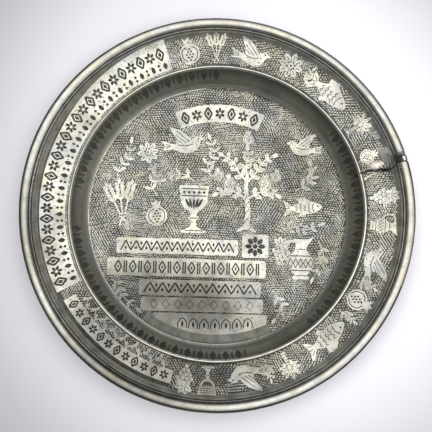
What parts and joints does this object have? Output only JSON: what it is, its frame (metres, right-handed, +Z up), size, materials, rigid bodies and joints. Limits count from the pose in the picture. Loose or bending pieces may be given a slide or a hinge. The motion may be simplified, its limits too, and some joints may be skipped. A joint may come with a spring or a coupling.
{
  "type": "seder plate",
  "caption": "Round pewter seder plate with a flat-floored well, a broad engraved flange that rises outwards, a reeded and beaded edge, and an old mended break in the rim.",
  "frame": {"origin": "centre of the flat underside of the bowl, on the surface that the plate rests on", "axes": "+Z up along the plate's axis, out of the well; +X to the right and +Y to the top of the picture"},
  "size_m": [0.36, 0.36, 0.0378],
  "materials": {
    "pewter": "aged, dark in the engraving",
    "bright_pewter": "rubbed bright by handling",
    "solder": "dull wiped solder"
  },
  "bodies": {
    "root": {"bowl": "pewter", "lip_wire": "bright_pewter", "rim_flange": "pewter", "edge_strip": "bright_pewter", "bead_insert": "bright_pewter", "seam_solder": "solder", "edge_solder": "solder", "crack_solder": "solder", "wiped_solder": "solder"}
  },
  "joints": []
}
